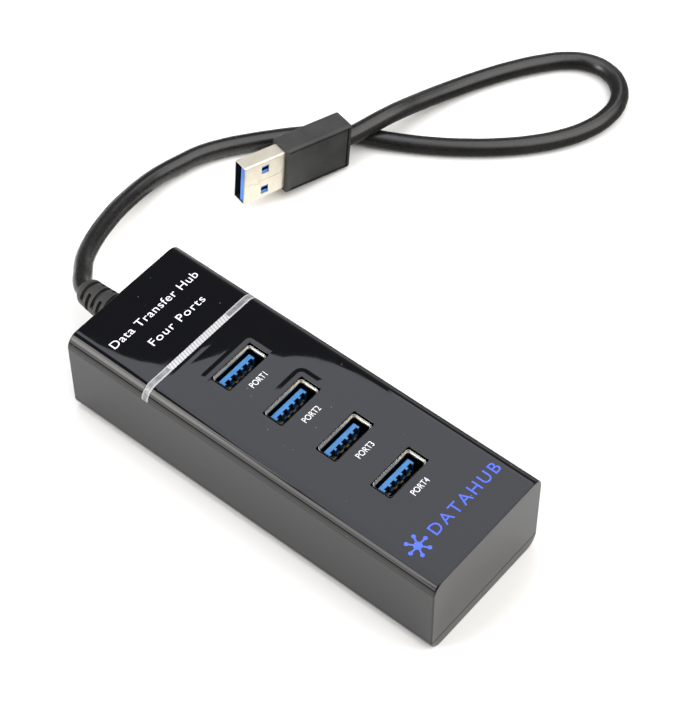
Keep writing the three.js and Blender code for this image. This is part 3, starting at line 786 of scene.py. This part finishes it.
def plug_insulator():
    """The blue block inside the sleeve, with painted shade in the catch hole under each window."""
    half_z = PLUG_WIDTH / 2 - PLUG_SHEET - 0.05
    block_piece = block("plug_block", (0.4, -1.9, -half_z), (PLUG_EXPOSED + PLUG_BURIED - 0.5, 0, half_z))
    for side in (-1, 1):
        middle = side * 3.35
        cut(block_piece, block("catch", (4.6, -3, middle - 0.5), (8.2, -0.7, middle + 0.4)))
    bevelled(block_piece, 0.08, 2)
    smooth(block_piece)
    done = finished(block_piece, "socket_blue", ["plug_insulator"], PLUG_BLUE)
    # Painted shade in the catch holes.
    paint_pocket_shade(done, in_catch)
    return moved_to_plug(done)


def plug_overmold():
    """The moulded grip: a rounded box with a shallow panel, in a fine groove, sunk in each broad face."""
    start, end = PLUG_EXPOSED, PLUG_EXPOSED + OVERMOLD_LENGTH
    half_y, half_z = OVERMOLD_THICKNESS / 2, OVERMOLD_WIDTH / 2
    rings = []
    for x, inset in round_ends(start, end, 0.6):
        outline = rounded_rectangle(half_y - inset, half_z - inset, 0.9 - inset)
        rings.append([(x, a, b) for a, b in outline])
    grip = piece("plug_grip", loft(rings))
    hollow_low = (start - 1, -PLUG_THICKNESS / 2 - 0.1, -PLUG_WIDTH / 2 - 0.1)
    hollow_high = (start + PLUG_BURIED + JOIN_GAP, PLUG_THICKNESS / 2 + 0.1, PLUG_WIDTH / 2 + 0.1)
    cut(grip, block("hollow", hollow_low, hollow_high))
    panel_start, panel_end, panel_half = start + 1.5, end - 0.95, half_z - 0.7
    panel_drop, groove_drop, groove_width = 0.22, 0.6, 0.34
    for side in (-1, 1):
        low_y, high_y = sorted((side * (half_y - groove_drop), side * (half_y + 1)))
        pocket = block("pocket", (panel_start, low_y, -panel_half), (panel_end, high_y, panel_half))
        low_y, high_y = sorted((side * (half_y - groove_drop - 0.1), side * (half_y - panel_drop)))
        panel_low = (panel_start - 0.1, low_y, groove_width - panel_half)
        panel = block("panel", panel_low, (panel_end - groove_width, high_y, panel_half + 0.1))
        cut(grip, pocket)
        modified(grip, ("BOOLEAN", dict(operation="UNION", solver="EXACT", object=panel)))
        bpy.data.objects.remove(panel)
    bevelled(grip, 0.07, 2, 50)
    return finished(smooth(moved_to_plug(grip), 35), "overmold_grey", ["plug_overmold"])


# ---------------------------------------------------------------- printing
def printed(name, words, size, place, material, condense=1.0, spacing=1.0):
    """Words printed on the top face, reading towards +Y, with their first letter at place (x, y)."""
    data = bpy.data.curves.new(name, "FONT")
    data.body = words
    data.size = size * MM
    data.space_character = spacing
    data.extrude = 0.006 * MM
    data.resolution_u = 4
    text = bpy.data.objects.new(name + "_curve", data)
    bpy.context.scene.collection.objects.link(text)
    bpy.context.view_layer.update()
    mesh = bpy.data.meshes.new_from_object(text.evaluated_get(bpy.context.evaluated_depsgraph_get()))
    bpy.data.objects.remove(text)
    start = Matrix.Translation(Vector((place[0], place[1], BODY_TOP + PRINT_HEIGHT)) * MM)
    quarter_turn = Matrix(((0, -1, 0, 0), (1, 0, 0, 0), (0, 0, 1, 0), (0, 0, 0, 1)))
    mesh.transform(start @ quarter_turn @ Matrix.Diagonal((condense, 1, 1, 1)))
    obj = bpy.data.objects.new(name, mesh)
    bpy.context.scene.collection.objects.link(obj)
    return finished(obj, material=material)


def hub_mark(centre, radius):
    """A plain mark for a hub: a disc with six spokes, each ending in a dot."""
    made = bmesh.new()
    z = BODY_TOP + PRINT_HEIGHT

    def disc(x, y, size, sides=24):
        edge = arc((x, y), size, 0, 360 - 360 / sides, sides - 1)
        made.faces.new([made.verts.new((a, b, z)) for a, b in edge])

    disc(*centre, radius * 0.34)
    for i in range(6):
        angle = math.radians(30 + 60 * i)
        out = Vector((math.cos(angle), math.sin(angle)))
        side = Vector((-out.y, out.x)) * radius * 0.07
        start, end = Vector(centre) + out * radius * 0.3, Vector(centre) + out * radius * 0.75
        corners = [start - side, end - side, end + side, start + side]
        made.faces.new([made.verts.new((p.x, p.y, z + 0.001)) for p in corners])
        disc(*(Vector(centre) + out * radius * 0.84), radius * 0.17, 16)
    mark = piece("hub_mark", made)
    return finished(mark, material=PRINT_BLUE)


# ---------------------------------------------------------------- assembly
jacket, cable_points = cable()
top_shell()
bottom_cover()
light_guide()
for number in PORTS:
    socket_shell(number)
    socket_insulator(number)
strain_relief()
plug_shell()
plug_insulator()
plug_overmold()

# The font's size for each millimetre of capital height.
CAP = 1 / 0.729
printed("heading_first", "Data Transfer Hub", 2.3 * CAP, (-43.3, -14.8), PRINT_WHITE, 1.13, 1.08)
printed("heading_second", "Four Ports", 2.3 * CAP, (-37.0, -8.4), PRINT_WHITE, 1.2, 1.12)
for number in PORTS:
    label_place = (PORT_X[number] + 6.7, -2.9)
    printed(f"port_label{number}", f"PORT{number}", 1.7 * CAP, label_place, PRINT_WHITE, 0.78)
hub_mark((44.5, -12.8), 3.1)
printed("hub_word", "DATAHUB", 3.2 * CAP, (46.1, -8.4), PRINT_BLUE, 1.0, 1.25)

slot_of = {part["node"]: part["material_slot"] for part in frame["record"]["subparts"]}
for node, obj in frame["nodes"].items():
    if not obj.hide_render:
        obj.data.materials.clear()
        obj.data.materials.append(MATERIALS[slot_of[node]])

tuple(cable_points[0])


# ---------------------------------------------------------------- studio
def emitter(name, corners, colour, strength):
    """A glowing card that lights and is reflected, but isn't seen itself."""
    mesh = bpy.data.meshes.new(name)
    mesh.from_pydata([Vector(corner) * MM for corner in corners], [], [list(range(len(corners)))])
    card = bpy.data.objects.new(name, mesh)
    bpy.context.scene.collection.objects.link(card)
    material = bpy.data.materials.new(name)
    material.use_nodes = True
    tree = material.node_tree
    tree.nodes.clear()
    glow = tree.nodes.new("ShaderNodeEmission")
    glow.inputs["Color"].default_value = (*colour, 1)
    glow.inputs["Strength"].default_value = strength
    output = tree.nodes.new("ShaderNodeOutputMaterial")
    tree.links.new(glow.outputs[0], output.inputs["Surface"])
    mesh.materials.append(material)
    card.visible_camera = False
    return card


def facing_card(name, azimuth, elevation, distance, width, height, colour, strength):
    """A card that faces the body from a direction given in degrees, at a distance."""
    a, e = math.radians(azimuth), math.radians(elevation)
    out = Vector((math.cos(a) * math.cos(e), math.sin(a) * math.cos(e), math.sin(e)))
    side = Vector((-math.sin(a), math.cos(a), 0))
    up = out.cross(side)
    centre = out * distance
    half_side, half_up = side * width / 2, up * height / 2
    corners = [centre + half_side * s + half_up * t for s, t in ((-1, -1), (1, -1), (1, 1), (-1, 1))]
    return emitter(name, corners, colour, strength)


# Soft boxes a metre away: name, azimuth and elevation in degrees, width, height, strength.
SOFT_BOXES = [
    ("side_main", -127, 35, 280, 330, 9.2),
    ("side_dimmer", -113.5, 35, 190, 330, 6.2),
    ("side_upper", -137, 49.5, 240, 190, 6.2),
    ("side_lower", -115, 16.5, 460, 300, 3.8),
    ("far_side", 31, 28, 420, 300, 3.5),
    ("far_low", 113, 9, 500, 260, 0.9),
]


def overhead_card():
    """The soft box above, whose edge shows as the line across the top face."""
    height = 700
    eye = Vector((216.8, -247.5, 2 * BODY_TOP - 459.3))
    grow = (height - eye.z) / (BODY_TOP - eye.z)
    edge = [
        (-60, -19), (-52, -16.8), (-46, -16), (-41, -15.1), (-36, -13.4), (-32, -11.5), (-27, -6.5),
        (-24, -1), (-21.5, 4), (-17, 6.6), (-12, 8.4), (-9.5, 10.8), (-6, 13), (-1.7, 14.6), (4, 15.6),
        (13, 16.4), (4, 60), (-30, 180), (-30, 210), (110, 210), (110, -380), (14, -380), (2.5, -230),
        (-20, -140), (-60, -110),
    ]
    corners = []
    for x, y in edge:
        spot = eye + (Vector((x, y, BODY_TOP)) - eye) * grow
        corners.append(spot)
    return emitter("overhead_card", corners, (0.9, 0.92, 1.0), 2.85)


def floor():
    mesh = bpy.data.meshes.new("floor")
    half = 6.0
    corners = [(-half, -half, 0), (half, -half, 0), (half, half, 0), (-half, half, 0)]
    mesh.from_pydata(corners, [], [(0, 1, 2, 3)])
    plane = bpy.data.objects.new("floor", mesh)
    bpy.context.scene.collection.objects.link(plane)
    material = bpy.data.materials.new("floor")
    material.use_nodes = True
    shader = material.node_tree.nodes["Principled BSDF"]
    shader.inputs["Base Color"].default_value = (0.915, 0.913, 0.9, 1)
    shader.inputs["Roughness"].default_value = 0.8
    shader.inputs["Specular IOR Level"].default_value = 0.1
    mesh.materials.append(material)


def floor_glow(name, x_range, y_range, strength):
    """How bright a stretch of floor is in reflections alone: it casts no light and isn't seen itself."""
    (x_low, x_high), (y_low, y_high) = x_range, y_range
    corners = [(x_low, y_low, 0.4), (x_high, y_low, 0.4), (x_high, y_high, 0.4), (x_low, y_high, 0.4)]
    card = emitter(name, corners, (1.0, 0.985, 0.95), strength)
    card.visible_diffuse = False
    card.visible_shadow = False
    card.visible_transmission = False


def sky():
    """A dim room, bright above the camera's side."""
    world = bpy.data.worlds.new("studio")
    world.use_nodes = True
    tree = world.node_tree
    background = tree.nodes["Background"]
    place = tree.nodes.new("ShaderNodeTexCoord")
    dot = tree.nodes.new("ShaderNodeVectorMath")
    dot.operation = "DOT_PRODUCT"
    dot.inputs[1].default_value = Vector((0.5, 0.15, 0.85)).normalized()
    spread = tree.nodes.new("ShaderNodeMapRange")
    spread.interpolation_type = "SMOOTHSTEP"
    for key, number in (("From Min", 0.7), ("From Max", 0.95), ("To Min", 0.22), ("To Max", 3.2)):
        spread.inputs[key].default_value = number
    tree.links.new(place.outputs["Generated"], dot.inputs[0])
    tree.links.new(dot.outputs["Value"], spread.inputs["Value"])
    tree.links.new(spread.outputs["Result"], background.inputs["Strength"])
    background.inputs["Color"].default_value = (1.0, 0.985, 0.96, 1)
    bpy.context.scene.world = world


floor()
sky()
overhead_card()
floor_ranges = [((-300, 50), (23, 44)), ((-38, 50), (44, 70)), ((-90, 50), (70, 400))]
for number, (x_range, y_range) in enumerate(floor_ranges):
    floor_glow(f"floor_beyond{number}", x_range, y_range, 0.33)
floor_glow("floor_before", (-500, 60), (-900, -46), 2.3)
for name, azimuth, elevation, width, height, strength in SOFT_BOXES:
    facing_card(name, azimuth, elevation, 1000, width, height, (1.0, 0.975, 0.94), strength)
bpy.context.scene.view_settings.view_transform = "Standard"
